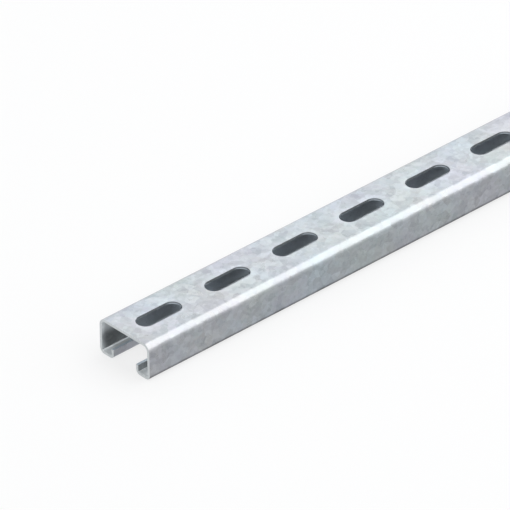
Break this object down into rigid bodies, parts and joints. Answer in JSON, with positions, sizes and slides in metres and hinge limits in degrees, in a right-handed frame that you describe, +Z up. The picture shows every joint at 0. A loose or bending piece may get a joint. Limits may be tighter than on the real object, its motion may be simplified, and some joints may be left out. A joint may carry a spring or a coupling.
{
  "type": "strut channel",
  "caption": "Straight steel rail of C section with inturned lips, an open mouth along its underside and a row of long round-ended slots through its web.",
  "frame": {"origin": "middle of the underside, between the two lips, halfway along the length, with the mouth down", "axes": "+X along the length, +Y across the width, +Z up out of the slotted web"},
  "size_m": [1, 0.04, 0.0225],
  "materials": {
    "galvanised_steel": "strip galvanised: pale blue-grey zinc with a soft spangle, satin and clean, with bare cut edges"
  },
  "bodies": {
    "root": {"strut_channel": "galvanised_steel"}
  },
  "joints": []
}
